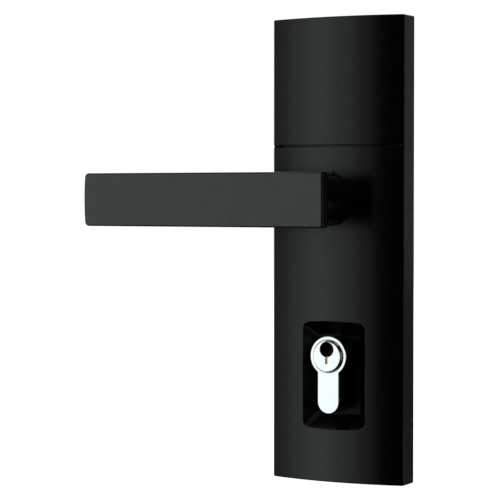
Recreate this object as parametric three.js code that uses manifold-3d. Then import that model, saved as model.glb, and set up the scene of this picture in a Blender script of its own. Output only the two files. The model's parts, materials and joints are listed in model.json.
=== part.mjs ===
// Outside half of a lever handle lockset: a crowned two-piece escutcheon plate on a steel back plate,
// a flat-bar lever with its sprung bearing, a square spindle, and a half euro-profile cylinder with its pins.
//
// Millimetres. +X to the right, +Y into the door, +Z up. The origin is where the spindle's axis meets the
// face of the door. The lever points to -X and turns about the spindle's axis.

import * as THREE from "three";
import { mergeVertices } from "three/addons/utils/BufferGeometryUtils.js";
import Module from "manifold-3d";

const wasm = await Module();
wasm.setup();

// ---- Driving dimensions -------------------------------------------------------------------------------

const PLATE = { width: 62, top: 78, bottom: -121, side: 10.6, crown: 4.3, wall: 2.3 };
const SPLIT = { z: 23.1, gap: 0.5 }; // the joint between the plate and its top cover
const LIP = { gap: 0.35, thickness: 1.6, reach: 5 }; // the tongue of the plate that runs under the cover
const SHOULDER = { y: -9.6, gap: 0.3 }; // the plate's walls run up behind the cover, which sits on them
const BACK = { thickness: 1.5, gap: 0.3, corner: 2, spindleHole: 8.6 };

const NECK = { radius: 10.2, back: -9.45 };
const BAR = { left: -103.5, right: 12.7, halfHeight: 11.5, front: -50.5, thickness: 5.5 };
const BAR_END = { bulge: 0.5, corner: 0.8 }; // how far the tip bows out, and the bar's corner radius
const JOURNAL = { radius: 7.5, flat: 6.6, back: -2.3 };
const SPINDLE = { size: 7.8, front: -32.5, back: 32 };
const SOCKET = { size: 8.1, front: -33.5 };
const GRUB = { y: -27, radius: 2.35, hole: 2.55, bottom: -9.7, top: -4.25, hex: 2.5 };

const BUSH = { inner: 10.34, outer: 12.05, front: -13.05, back: -9.4 };
const BUSH_SEAT = { radius: 12.2, front: -13.2, boss: 16.8, bossBack: -8.5 };
const NECK_HOLE = 10.6;
const WASHER = { inner: 7.75, outer: 11.9, front: -9.25, back: -8.75 };
const DRIVER = { radius: 12.2, front: -8.4, back: -6.6, hole: 7.65, flat: 6.75, lugReach: 15, lugWidth: 5 };
const TAB = { inner: 12.6, outer: 14.2, width: 3, back: -3.6 };
const CLIP = { inner: 6.92, outer: 9.2, front: -6.25, back: -5.45, groove: 6.75 };
const HOUSING = { inner: 15.4, outer: 17, front: -8.3, back: -1.9, floor: 1, hole: 8.3, ear: 20.5 };
const EAR = { radius: 3.4, front: -6, back: -4.2, holeBottom: -11 };
const SPRING_POST = { radius: 1, reach: 13.3, front: -5.9, angle: 78 }; // the angles are in degrees from +X
const STOPS = { start: 58, end: 165, clearance: 0.4, slack: 1.2 };
const RETURN_SPRING = { radius: 10.5, wire: 0.55, front: -5.85, back: -3.55, legReach: 14.6 };
const LEGS = { left: 101, right: 69.5, bend: 1.4 }; // they grip the driver's tab and the housing's post
const LEVER_TRAVEL = 40; // degrees, downwards

const BOSS = { radius: 3.2, back: -1.8, hole: 1.5, depth: 7 };
const SCREW = { shank: 1.3, head: 2.75, headHeight: 1.4, tip: -7.6, sunk: 0.05 };
const HOUSING_SCREW = { head: 2.7, dome: 2.2, back: -2.3, tip: -10.6 };
const CROSS = { reach: 1.4, halfWidth: 0.3, depth: 1 }; // the recess for a driver
const SCREW_FIT = 0.3; // how much wider than a shank its clearance hole is, at the radius
const PLATE_SCREWS = [[-23.5, 12], [23.5, 12], [-23.5, -112], [23.5, -112]];
const COVER_SCREWS = [[-19, 60], [19, 60]];
const PILLARS = { upper: 44, lower: -110 };
const PILLAR = { radius: 4, flange: 6, flangeFront: -3.2, flangeBack: -1.8, back: 15, bore: 2.1, boss: 5 };

const POCKET = { z: -75.25, halfWidth: 15.1, halfHeight: 22.85, corner: 2.6, rim: -14.5 };
const POCKET_FLOOR = { y: -8, halfWidth: 10, halfHeight: 18, corner: 2, thickness: 2 };
const POCKET_WALL = 2;

const CYLINDER = { z: -66.6, front: -19.4, back: 20.6, head: 8.5, web: 5, foot: 19.5 };
const CYLINDER_GAP = { plate: 0.4, back: 0.6 }; // round it, in the two holes that it stands in
const CAM_SLOT = { front: 5.5, back: 15.7, depth: 16.2 };
const PLUG = { face: -21, faceRadius: 6.35, flange: 7, flangeBack: -18.45, radius: 6.5, back: 5.2 };
const TAIL = { radius: 4.3, flat: 3.6, flatFront: 6.5, back: 18.4 };
const PLUG_BORE = { radius: 6.65, flange: 7.15, flangeBack: -18.3, tail: 4.6, tailBack: 18.7 };
const KEY_ENTRY = { radius: 3.1, z: 3, back: -16.4 };
const KEYWAY = { back: 4.2, halfWidth: 0.65, top: 5, bottom: -3.2, jog: 0.55 };
const PINS = { front: -13.4, pitch: 4, radius: 1.35, hole: 1.5, lengths: [3.6, 4.8, 4.1, 5.2, 3.9] };
const KEY_PIN = { foot: -6.3, boreTop: 0.4 };
const DRIVER_PIN = { top: -7.05, length: 5 };
const PIN_SPRING = { radius: 1.05, wire: 0.2, top: -12.4, bottom: -21.9, turns: 5 };
const CHAMBER = { plug: 1.65, plugHole: 1.8, plugTop: -22.3, plugBottom: -24.05 };
const FIXING_HOLE = { radius: 2.1, y: 10.6, z: -20.3 };
const CAM = { front: 6.95, back: 15.3, radius: 7.6, hole: 4.45, flat: 3.75, reach: 15.2, width: 6, turn: 30 };
const PLUG_CLIP = { inner: 3.95, outer: 7.4, front: 5.75, back: 6.45, groove: 3.8 };

const ROUND = 40; // sides of a large round
const SMALL = 16; // sides of a screw or a pillar
const TINY = 12; // sides of a pin
const ARC = 8; // a drawn arc gets twice as many sides
const CORNER = 3; // and so does a small corner
const CUT = 1; // how far a cutting tool runs past the face that it opens

const degrees = THREE.MathUtils.degToRad;

// ---- Solids from three.js geometries --------------------------------------------------------------------

// A closed three.js geometry as a manifold-3d solid, facing out.
function solid(geometry) {
  const loose = geometry.index ? geometry.toNonIndexed() : geometry.clone();
  loose.deleteAttribute("normal");
  loose.deleteAttribute("uv");
  const merged = mergeVertices(loose, 1e-4);
  const index = merged.index.array;
  const triVerts = [];
  for (let i = 0; i < index.length; i += 3) {
    const [a, b, c] = [index[i], index[i + 1], index[i + 2]];
    if (a !== b && b !== c && c !== a) triVerts.push(a, b, c);
  }
  const make = (triangles) =>
    new wasm.Manifold(
      new wasm.Mesh({
        numProp: 3,
        vertProperties: merged.attributes.position.array,
        triVerts: new Uint32Array(triangles),
      }),
    );
  const made = make(triVerts);
  return made.volume() < 0 ? make(triVerts.reverse()) : made;
}

function geometryOf(manifold) {
  const { vertProperties, triVerts } = manifold.getMesh();
  const geometry = new THREE.BufferGeometry();
  geometry.setAttribute("position", new THREE.BufferAttribute(new Float32Array(vertProperties), 3));
  geometry.setIndex(new THREE.BufferAttribute(new Uint32Array(triVerts), 1));
  geometry.computeVertexNormals();
  return geometry;
}

const united = (...solids) => solids.reduce((whole, next) => whole.add(next));
const cut = (whole, ...tools) => tools.reduce((left, tool) => left.subtract(tool), whole);

function box(x0, x1, y0, y1, z0, z1) {
  const geometry = new THREE.BoxGeometry(x1 - x0, y1 - y0, z1 - z0);
  geometry.translate((x0 + x1) / 2, (y0 + y1) / 2, (z0 + z1) / 2);
  return solid(geometry);
}

// A shape drawn in X and Z, from y0 to y1.
function extrudeY(shape, y0, y1, curveSegments = ARC) {
  const options = { depth: y1 - y0, bevelEnabled: false, curveSegments };
  const geometry = new THREE.ExtrudeGeometry(shape, options);
  geometry.rotateX(Math.PI / 2);
  geometry.translate(0, y1, 0);
  return solid(geometry);
}

// A shape drawn in X and Y, from z0 to z1.
function extrudeZ(shape, z0, z1, curveSegments = ARC) {
  const options = { depth: z1 - z0, bevelEnabled: false, curveSegments };
  const geometry = new THREE.ExtrudeGeometry(shape, options);
  geometry.translate(0, 0, z0);
  return solid(geometry);
}

// A profile of [radius, y] points turned about the Y axis, moved to x, z.
function turned(profile, sides = ROUND, x = 0, z = 0) {
  const points = profile.map(([radius, y]) => new THREE.Vector2(radius, y));
  const geometry = new THREE.LatheGeometry(points, sides);
  geometry.translate(x, 0, z);
  return solid(geometry);
}

const rod = (radius, y0, y1, sides = ROUND, x = 0, z = 0) =>
  turned([[0, y0], [radius, y0], [radius, y1], [0, y1]], sides, x, z);

const ring = (inner, outer, y0, y1, sides = ROUND) =>
  turned([[inner, y0], [outer, y0], [outer, y1], [inner, y1], [inner, y0]], sides);

// A profile of [radius, z] points turned about an upright axis through x, y.
function upright(profile, sides = TINY, x = 0, y = 0) {
  const points = profile.map(([radius, z]) => new THREE.Vector2(radius, z));
  const geometry = new THREE.LatheGeometry(points, sides);
  geometry.rotateX(Math.PI / 2);
  geometry.translate(x, y, 0);
  return solid(geometry);
}

const post = (radius, z0, z1, sides = TINY, x = 0, y = 0) =>
  upright([[0, z0], [radius, z0], [radius, z1], [0, z1]], sides, x, y);

function rectangle(halfWidth, z0, z1, corner) {
  const shape = new THREE.Shape();
  const [inX, low, high] = [halfWidth - corner, z0 + corner, z1 - corner];
  shape.moveTo(-inX, z0);
  shape.lineTo(inX, z0);
  shape.absarc(inX, low, corner, -Math.PI / 2, 0);
  shape.absarc(inX, high, corner, 0, Math.PI / 2);
  shape.absarc(-inX, high, corner, Math.PI / 2, Math.PI);
  shape.absarc(-inX, low, corner, Math.PI, 1.5 * Math.PI);
  return shape;
}

// A solid that runs straight between two rounded rectangles, at y0 and y1, both centred on the same line.
function funnel(from, to, centreZ) {
  const outline = ({ halfWidth, halfHeight, corner }) =>
    rectangle(halfWidth, -halfHeight, halfHeight, corner).extractPoints(CORNER).shape;
  const [near, far] = [outline(from), outline(to)];
  const positions = [];
  const put = (point, y) => positions.push(point.x, y, point.y + centreZ);
  near.forEach((point, i) => {
    const next = (i + 1) % near.length;
    put(near[i], from.y), put(near[next], from.y), put(far[next], to.y);
    put(near[i], from.y), put(far[next], to.y), put(far[i], to.y);
  });
  for (const [a, b, c] of THREE.ShapeUtils.triangulateShape(near, [])) {
    put(near[c], from.y), put(near[b], from.y), put(near[a], from.y);
    put(far[a], to.y), put(far[b], to.y), put(far[c], to.y);
  }
  const geometry = new THREE.BufferGeometry();
  geometry.setAttribute("position", new THREE.Float32BufferAttribute(positions, 3));
  return solid(geometry);
}

// A round wire along a curve.
function wire(curve, radius, steps, sides) {
  const section = new THREE.Shape();
  for (let i = 0; i < sides; i++) {
    const angle = (2 * Math.PI * i) / sides;
    const [x, y] = [radius * Math.cos(angle), radius * Math.sin(angle)];
    if (i === 0) section.moveTo(x, y);
    else section.lineTo(x, y);
  }
  return solid(new THREE.ExtrudeGeometry(section, { steps, extrudePath: curve, curveSegments: 1 }));
}

// ---- Shapes that several pieces share ---------------------------------------------------------------------

const crownRadius = ((PLATE.width / 2) ** 2 + PLATE.crown ** 2) / (2 * PLATE.crown);
const crownCentre = crownRadius - PLATE.side - PLATE.crown;

// The plate's cross-section, all its faces but the back one moved in by inset.
function plateSection(inset, back) {
  const half = PLATE.width / 2 - inset;
  const radius = crownRadius - inset;
  const edge = crownCentre - Math.sqrt(radius ** 2 - half ** 2);
  const shape = new THREE.Shape();
  shape.moveTo(half, back);
  shape.lineTo(-half, back);
  shape.lineTo(-half, edge);
  const [from, to] = [Math.atan2(edge - crownCentre, -half), Math.atan2(edge - crownCentre, half)];
  shape.absarc(0, crownCentre, radius, from, to);
  return shape;
}

// The euro profile about the plug's axis, grown by gap all round.
function euroProfile(gap = 0) {
  const [head, web] = [CYLINDER.head + gap, CYLINDER.web + gap];
  const notch = Math.asin(web / head);
  const shape = new THREE.Shape();
  shape.absarc(0, 0, head, notch - Math.PI / 2, 1.5 * Math.PI - notch);
  shape.absarc(0, -CYLINDER.foot, web, Math.PI, 2 * Math.PI);
  return shape;
}

// A round hole or shaft with a flat on its left and right.
function doubleD(radius, flat, y0, y1) {
  const side = (x0, x1) => box(x0, x1, y0 - CUT, y1 + CUT, -radius - CUT, radius + CUT);
  const left = side(-radius - CUT, -flat);
  const right = side(flat, radius + CUT);
  return cut(rod(radius, y0, y1), left, right);
}

// A C-shaped retaining ring that lies in the XZ plane, open towards the angle mouth.
function retainingRing({ inner, outer, front, back }, mouth, opening = degrees(70)) {
  const [from, to] = [mouth + opening / 2, mouth + 2 * Math.PI - opening / 2];
  const shape = new THREE.Shape();
  shape.absarc(0, 0, outer, from, to);
  shape.absarc(0, 0, inner, to, from, true);
  return extrudeY(shape, front, back);
}

function countersunkScrew() {
  const { shank, head, headHeight, tip, sunk } = SCREW;
  const profile = [[0, tip], [shank - 0.4, tip], [shank, tip + 0.5]];
  profile.push([shank, -sunk - headHeight], [head, -sunk - 0.2], [head, -sunk], [0, -sunk]);
  return cut(turned(profile, SMALL), crossRecess(0));
}

// The cutting tool for a cross recess in a screw head whose top is at y.
function crossRecess(y) {
  const { reach, halfWidth, depth } = CROSS;
  const arm = box(-reach, reach, y - depth, y + CUT, -halfWidth, halfWidth);
  return arm.add(arm.rotate([0, 90, 0]));
}

function screwBoss([x, z], front) {
  return rod(BOSS.radius, front, BOSS.back, SMALL, x, z);
}

function screwHole([x, z]) {
  return rod(BOSS.hole, BOSS.back - BOSS.depth, BOSS.back + CUT, SMALL, x, z);
}

// A post that holds a fixing pillar's flange down on the back plate.
function pillarBoss(z) {
  return rod(PILLAR.boss, surfaceAt(0) + 1, PILLAR.flangeFront - 0.2, SMALL, 0, z);
}

const surfaceAt = (x) => crownCentre - Math.sqrt(crownRadius ** 2 - x ** 2);

// ---- The plate --------------------------------------------------------------------------------------------

function frontPlate() {
  const { wall, bottom } = PLATE;
  const top = SPLIT.z - SPLIT.gap / 2;
  const shell = extrudeZ(plateSection(0, 0), bottom, top);
  const cavity = extrudeZ(plateSection(wall, CUT), bottom + wall, top - wall);
  const seat = extrudeZ(plateSection(wall, CUT), bottom + wall, top + CUT);
  const seatDepth = box(-PLATE.width, PLATE.width, BOSS.back, 2 * CUT, bottom, top + 2 * CUT);

  const under = wall + LIP.gap;
  const lipOuter = extrudeZ(plateSection(under, BOSS.back), top - CUT, top + LIP.reach);
  const lipInner = extrudeZ(plateSection(under + LIP.thickness, CUT), top - 2 * CUT, top + LIP.reach + CUT);
  const lip = cut(lipOuter, lipInner);

  const neckBoss = rod(BUSH_SEAT.boss, BUSH_SEAT.front + 0.2, BUSH_SEAT.bossBack);
  const earPlaces = [-HOUSING.ear, HOUSING.ear];
  const ears = earPlaces.map((x) => rod(BOSS.radius, surfaceAt(x) + 1, EAR.front - 0.2, SMALL, x));
  const bosses = PLATE_SCREWS.map((at) => screwBoss(at, surfaceAt(at[0]) + 1));
  const hollowShell = cut(shell, cavity, seat.intersect(seatDepth));
  const inner = [neckBoss, pillarBoss(PILLARS.lower), ...ears, ...bosses];
  const body = united(hollowShell, coverFrame(), lip, ...inner);

  const { floorOuter, rimOuter, hollow } = pocketSolids();
  const withPocket = cut(body.add(funnel(floorOuter, rimOuter, POCKET.z)), hollow);

  const neckHole = rod(NECK_HOLE, surfaceAt(0) - CUT, 0);
  const bushSeat = rod(BUSH_SEAT.radius, BUSH_SEAT.front, 0);
  const earHoles = earPlaces.map((x) => rod(BOSS.hole, EAR.holeBottom, EAR.front, SMALL, x));
  const cylinderHole = extrudeY(euroProfile(CYLINDER_GAP.plate), PLUG.face, 0).translate([0, 0, CYLINDER.z]);
  return cut(withPocket, neckHole, bushSeat, cylinderHole, ...earHoles, ...PLATE_SCREWS.map(screwHole));
}

// The side and top walls that carry the cover, open in front and behind.
function coverFrame() {
  const { wall, width, top } = PLATE;
  const [half, foot] = [width / 2, SPLIT.z - SPLIT.gap / 2];
  const outside = box(-half, half, SHOULDER.y, 0, foot - wall / 2, top);
  const inside = box(wall - half, half - wall, SHOULDER.y - CUT, CUT, foot - wall, top - wall);
  return cut(outside, inside);
}

// The pocket round the cylinder tapers from a rim in the crowned face to a flat floor.
function pocketSolids() {
  const floor = POCKET_FLOOR;
  const depth = floor.y - POCKET.rim;
  const past = 1 + 1.6 / depth; // carries the taper out past the crown
  const grown = (start, end) => start + (end - start) * past;
  const mouth = {
    y: grown(floor.y, POCKET.rim),
    halfWidth: grown(floor.halfWidth, POCKET.halfWidth),
    halfHeight: grown(floor.halfHeight, POCKET.halfHeight),
    corner: grown(floor.corner, POCKET.corner),
  };
  const thicker = ({ halfWidth, halfHeight, corner }, y) => ({
    y,
    halfWidth: halfWidth + POCKET_WALL,
    halfHeight: halfHeight + POCKET_WALL,
    corner: corner + POCKET_WALL,
  });
  return {
    floorOuter: thicker(floor, floor.y + floor.thickness),
    rimOuter: thicker(POCKET, surfaceAt(POCKET.halfWidth + POCKET_WALL) + 0.3),
    hollow: funnel(floor, mouth, POCKET.z),
  };
}

function topCover() {
  const { wall, top } = PLATE;
  const foot = SPLIT.z + SPLIT.gap / 2;
  const shell = extrudeZ(plateSection(0, SHOULDER.y - SHOULDER.gap), foot, top);
  const cavity = extrudeZ(plateSection(wall, CUT), foot - CUT, top - wall);
  const bosses = COVER_SCREWS.map((at) => screwBoss(at, surfaceAt(at[0]) + 1));
  const body = united(cut(shell, cavity), pillarBoss(PILLARS.upper), ...bosses);
  return cut(body, ...COVER_SCREWS.map(screwHole));
}

function backPlate() {
  const { thickness, gap, corner, spindleHole: spindleRadius } = BACK;
  const inset = PLATE.wall + gap;
  const outline = rectangle(PLATE.width / 2 - inset, PLATE.bottom + inset, PLATE.top - inset, corner);
  const sheet = extrudeY(outline, -thickness, 0, CORNER);
  const front = -thickness - CUT;
  const spindleHole = rod(spindleRadius, front, CUT);
  const cylinderHole = extrudeY(euroProfile(CYLINDER_GAP.back), front, CUT).translate([0, 0, CYLINDER.z]);
  const pillarHoles = Object.values(PILLARS).map((z) => rod(PILLAR.radius + 0.3, front, CUT, SMALL, 0, z));
  const sinks = [...PLATE_SCREWS, ...COVER_SCREWS].map(([x, z]) => {
    const { shank, head } = SCREW;
    const [hole, sink] = [shank + SCREW_FIT, head + 0.25];
    const profile = [[0, front], [hole, front], [hole, -thickness], [sink, -0.15], [sink, CUT], [0, CUT]];
    return turned(profile, SMALL, x, z);
  });
  return cut(sheet, spindleHole, cylinderHole, ...pillarHoles, ...sinks);
}

function pillar() {
  const { radius, flange, flangeFront, flangeBack, back, bore } = PILLAR;
  const profile = [[0, flangeFront], [flange, flangeFront], [flange, flangeBack], [radius, flangeBack]];
  profile.push([radius, back - 0.6], [radius - 0.6, back], [bore, back], [bore, 1], [0, 0]);
  return turned(profile, SMALL);
}

// ---- The lever and its bearing --------------------------------------------------------------------------

function lever() {
  const { left, right, halfHeight, front, thickness } = BAR;
  const { bulge, corner } = BAR_END;
  const tip = left + bulge;
  const bulgeRadius = (halfHeight ** 2 + bulge ** 2) / (2 * bulge);
  const spread = Math.asin((halfHeight - corner) / bulgeRadius);
  const outline = new THREE.Shape();
  outline.moveTo(tip + corner, -halfHeight);
  outline.lineTo(right - corner, -halfHeight);
  outline.absarc(right - corner, corner - halfHeight, corner, -Math.PI / 2, 0);
  outline.absarc(right - corner, halfHeight - corner, corner, 0, Math.PI / 2);
  outline.lineTo(tip + corner, halfHeight);
  outline.absarc(left + bulgeRadius, 0, bulgeRadius, Math.PI - spread, Math.PI + spread);
  const bar = extrudeY(outline, front, front + thickness, CORNER);
  const neck = rod(NECK.radius, front + thickness - CUT, NECK.back);
  const journal = doubleD(JOURNAL.radius, JOURNAL.flat, NECK.back - CUT, JOURNAL.back);

  const half = SOCKET.size / 2;
  const socket = box(-half, half, SOCKET.front, 0, -half, half);
  const groove = ring(CLIP.groove, JOURNAL.radius + CUT, CLIP.front - 0.1, CLIP.back + 0.1);
  const grubHole = post(GRUB.hole, -NECK.radius - CUT, 0, SMALL, 0, GRUB.y);
  return cut(united(bar, neck, journal), socket, groove, grubHole);
}

function grubScrew() {
  const { radius, bottom, top, hex } = GRUB;
  const profile = [[0, bottom], [radius - 0.3, bottom], [radius, bottom + 0.3]];
  profile.push([radius, top - 0.8], [0.9, top], [0, top]);
  const body = upright(profile, SMALL);
  const key = post(hex / Math.sqrt(3), bottom - CUT, bottom + 2, 6);
  return cut(body, key);
}

function spindle() {
  const half = SPINDLE.size / 2;
  return box(-half, half, SPINDLE.front, SPINDLE.back, -half, half);
}

// The disc on the journal that carries the stop lug and the tab that winds the spring.
function springDriver() {
  const { radius, front, back, hole, flat, lugReach, lugWidth } = DRIVER;
  const lug = box(-lugWidth / 2, lugWidth / 2, front, back, radius - 2, lugReach);
  const tab = box(-TAB.width / 2, TAB.width / 2, back - CUT, TAB.back, TAB.inner, TAB.outer);
  return cut(united(rod(radius, front, back), lug, tab), doubleD(hole, flat, front - CUT, back + CUT));
}

// Two turns of wire whose legs grip the driver's tab and the housing's post between them.
function returnSpring() {
  const { radius, wire: thick, front, back, legReach } = RETURN_SPRING;
  const [left, right] = [degrees(LEGS.left), degrees(LEGS.right)];
  const sweep = 4 * Math.PI - (left - right);
  const coilSteps = 40;
  const at = (r, angle, y) => new THREE.Vector3(r * Math.cos(angle), y, r * Math.sin(angle));
  const points = [at(legReach, left, front), at(radius + LEGS.bend, left, front)];
  for (let i = 1; i < coilSteps; i++) {
    const share = i / coilSteps;
    points.push(at(radius, left + sweep * share, front + (back - front) * share));
  }
  points.push(at(radius + LEGS.bend, right, back), at(legReach, right, back));
  return wire(new THREE.CatmullRomCurve3(points, false, "centripetal"), thick, 60, 6);
}

function springHousing() {
  const { inner, outer, front, back, floor, hole, ear } = HOUSING;
  const hollow = rod(inner, front - CUT, back - floor);
  const cup = cut(rod(outer, front, back), hollow, rod(hole, front, back + CUT));
  const ears = [-1, 1].map((side) => {
    const tongue = side < 0 ? [-ear, -outer + 0.5] : [outer - 0.5, ear];
    const bridge = box(...tongue, EAR.front, EAR.back, -EAR.radius, EAR.radius);
    return cut(
      bridge.add(rod(EAR.radius, EAR.front, EAR.back, SMALL, side * ear)),
      rod(SCREW.shank + SCREW_FIT, EAR.front - CUT, EAR.back + CUT, SMALL, side * ear),
    );
  });
  const lugAngle = Math.atan(DRIVER.lugWidth / 2 / (DRIVER.radius + STOPS.clearance)) + degrees(STOPS.slack);
  const restStop = stopBlock(degrees(STOPS.start), Math.PI / 2 - lugAngle);
  const endStop = stopBlock(Math.PI / 2 + degrees(LEVER_TRAVEL) + lugAngle, degrees(STOPS.end));
  return united(cup, ...ears, restStop, endStop, springPost(back - floor / 2));
}

function springPost(root) {
  const { radius, reach, front, angle } = SPRING_POST;
  const [x, z] = [reach * Math.cos(degrees(angle)), reach * Math.sin(degrees(angle))];
  return rod(radius, front, root, TINY, x, z);
}

// A block inside the housing's wall that the driver's lug runs against.
function stopBlock(from, to) {
  const [near, far] = [DRIVER.radius + STOPS.clearance, HOUSING.inner + 0.5];
  const shape = new THREE.Shape();
  shape.absarc(0, 0, far, from, to);
  shape.absarc(0, 0, near, to, from, true);
  return extrudeY(shape, HOUSING.front, DRIVER.back, CORNER);
}

function housingScrew() {
  const { shank } = SCREW;
  const { head, dome, back, tip } = HOUSING_SCREW;
  const seat = EAR.back + 0.1;
  const profile = [[0, tip], [shank - 0.4, tip], [shank, tip + 0.5], [shank, seat], [head, seat]];
  profile.push([head, back - 0.5], [dome, back], [0, back]);
  return cut(turned(profile, SMALL), crossRecess(back));
}

// ---- The cylinder, about the plug's axis ----------------------------------------------------------------

const pinPlaces = PINS.lengths.map((_, i) => PINS.front + PINS.pitch * i);

function cylinderBody() {
  const { front, back, foot, web } = CYLINDER;
  const bar = extrudeY(euroProfile(), front, back);
  const bore = rod(PLUG_BORE.radius, front - CUT, CAM_SLOT.front + CUT);
  const flangeSeat = rod(PLUG_BORE.flange, front - CUT, PLUG_BORE.flangeBack);
  const slot = box(-10, 10, CAM_SLOT.front, CAM_SLOT.back, -CAM_SLOT.depth, 10);
  const tailBore = rod(PLUG_BORE.tail, CAM_SLOT.back - CUT, PLUG_BORE.tailBack);
  const chambers = pinPlaces.flatMap((y) => [
    post(PINS.hole, -foot - web - CUT, -PLUG_BORE.radius + CUT, TINY, 0, y),
    post(CHAMBER.plugHole, -foot - web - CUT, CHAMBER.plugTop + 0.15, TINY, 0, y),
  ]);
  const fixing = new THREE.CylinderGeometry(FIXING_HOLE.radius, FIXING_HOLE.radius, 4 * web, SMALL);
  fixing.rotateZ(Math.PI / 2);
  fixing.translate(0, FIXING_HOLE.y, FIXING_HOLE.z);
  return cut(bar, bore, flangeSeat, slot, tailBore, ...chambers, solid(fixing));
}

function plug() {
  const { face, faceRadius, flange, flangeBack, radius, back } = PLUG;
  const profile = [[0, face], [faceRadius, face], [flange, CYLINDER.front - 0.1], [flange, flangeBack]];
  profile.push([radius, flangeBack], [radius, back]);
  profile.push([TAIL.radius, back], [TAIL.radius, TAIL.back], [0, TAIL.back]);
  const barrel = turned(profile);
  const clear = radius + CUT;
  const flats = [[-clear, -TAIL.flat], [TAIL.flat, clear]].map(([x0, x1]) =>
    box(x0, x1, TAIL.flatFront, TAIL.back + CUT, -clear, clear),
  );
  const groove = ring(PLUG_CLIP.groove, clear, PLUG_CLIP.front - 0.1, PLUG_CLIP.back + 0.1);
  const entry = rod(KEY_ENTRY.radius, face - CUT, KEY_ENTRY.back, 32, 0, KEY_ENTRY.z);
  const keyway = extrudeY(keywayOutline(), face - CUT, KEYWAY.back);
  const bores = pinPlaces.map((y) => post(PINS.hole, -radius - CUT, KEY_PIN.boreTop, TINY, 0, y));
  return cut(barrel, ...flats, groove, entry, keyway, ...bores);
}

// The keyway steps sideways half way up, as the ward in it does.
function keywayOutline() {
  const { halfWidth, top, bottom, jog } = KEYWAY;
  const [stepLow, stepHigh] = [-0.6, 0.6];
  const shape = new THREE.Shape();
  shape.moveTo(-halfWidth, bottom);
  shape.lineTo(halfWidth, bottom);
  shape.lineTo(halfWidth, stepLow);
  shape.lineTo(halfWidth + jog, stepHigh);
  shape.lineTo(halfWidth + jog, top);
  shape.lineTo(jog - halfWidth, top);
  shape.lineTo(jog - halfWidth, stepHigh);
  shape.lineTo(-halfWidth, stepLow);
  return shape;
}

// Key pins point up into the keyway, and their lengths code the lock.
function keyPin(length) {
  const { radius } = PINS;
  const [foot, tip] = [KEY_PIN.foot, KEY_PIN.foot + length];
  const profile = [[0, foot], [radius - 0.2, foot], [radius, foot + 0.2]];
  profile.push([radius, tip - 0.8], [0.4, tip], [0, tip]);
  return upright(profile);
}

function driverPin() {
  const { radius } = PINS;
  const [top, foot] = [DRIVER_PIN.top, DRIVER_PIN.top - DRIVER_PIN.length];
  const profile = [[0, foot], [radius - 0.2, foot], [radius, foot + 0.2], [radius, foot + 1.2]];
  profile.push([radius - 0.35, foot + 1.5], [radius - 0.35, top - 1.5], [radius, top - 1.2]);
  profile.push([radius, top - 0.2], [radius - 0.2, top], [0, top]);
  return upright(profile);
}

function pinSpring() {
  const { radius, wire: thick, top, bottom, turns } = PIN_SPRING;
  const steps = turns * 7;
  const points = [];
  for (let i = 0; i <= steps; i++) {
    const share = i / steps;
    const angle = 2 * Math.PI * turns * share;
    const z = bottom + (top - bottom) * share;
    points.push(new THREE.Vector3(radius * Math.cos(angle), radius * Math.sin(angle), z));
  }
  return wire(new THREE.CatmullRomCurve3(points), thick, steps, 4);
}

function chamberPlug() {
  return post(CHAMBER.plug, CHAMBER.plugBottom, CHAMBER.plugTop);
}

function cam() {
  const { front, back, radius, hole, flat, reach, width, turn } = CAM;
  const tongue = box(-width / 2, width / 2, front, back, -reach, 0).intersect(rod(reach, front, back));
  const blank = rod(radius, front, back).add(tongue).rotate([0, turn, 0]);
  return cut(blank, doubleD(hole, flat, front - CUT, back + CUT));
}

// ---- Materials --------------------------------------------------------------------------------------------

const finish = (color, roughness, metalness) =>
  new THREE.MeshStandardMaterial({ color, roughness, metalness });

const blackCoat = finish(0x1b1d1e, 0.45, 0);
const brightChrome = finish(0xe8e8e6, 0.12, 1);
const brass = finish(0xb98d3e, 0.3, 1);
const zincSteel = finish(0xa9adb0, 0.38, 1);
const springSteel = finish(0x8f9396, 0.3, 1);
const castZinc = finish(0x8c8f92, 0.55, 1);
const nylon = finish(0xd9d6cc, 0.6, 0);

// ---- Assembly ---------------------------------------------------------------------------------------------

function piece(name, manifold, material, [x, y, z] = [0, 0, 0]) {
  const mesh = new THREE.Mesh(geometryOf(manifold), material);
  mesh.name = name;
  mesh.position.set(x, y, z);
  return mesh;
}

function group(...members) {
  const made = new THREE.Group();
  made.add(...members);
  return made;
}

const escutcheon = group(
  piece("front_plate", frontPlate(), blackCoat),
  piece("top_cover", topCover(), blackCoat),
  piece("back_plate", backPlate(), zincSteel),
);
PLATE_SCREWS.forEach(([x, z], i) =>
  escutcheon.add(piece(`plate_screw_${i + 1}`, countersunkScrew(), zincSteel, [x, 0, z])),
);
COVER_SCREWS.forEach(([x, z], i) =>
  escutcheon.add(piece(`cover_screw_${i + 1}`, countersunkScrew(), zincSteel, [x, 0, z])),
);
for (const [name, z] of Object.entries(PILLARS))
  escutcheon.add(piece(`${name}_fixing_pillar`, pillar(), zincSteel, [0, 0, z]));

const bearing = group(
  piece("neck_bush", ring(BUSH.inner, BUSH.outer, BUSH.front, BUSH.back), nylon),
  piece("thrust_washer", ring(WASHER.inner, WASHER.outer, WASHER.front, WASHER.back), zincSteel),
  piece("spring_housing", springHousing(), castZinc),
  piece("return_spring", returnSpring(), springSteel),
  piece("housing_screw_1", housingScrew(), zincSteel, [-HOUSING.ear, 0, 0]),
  piece("housing_screw_2", housingScrew(), zincSteel, [HOUSING.ear, 0, 0]),
);

const leverGroup = group(
  piece("lever", lever(), blackCoat),
  piece("lever_grub_screw", grubScrew(), zincSteel, [0, GRUB.y, 0]),
  piece("spindle", spindle(), zincSteel),
  piece("spring_driver", springDriver(), zincSteel),
  piece("lever_circlip", retainingRing(CLIP, -Math.PI / 2), springSteel),
);

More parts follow.
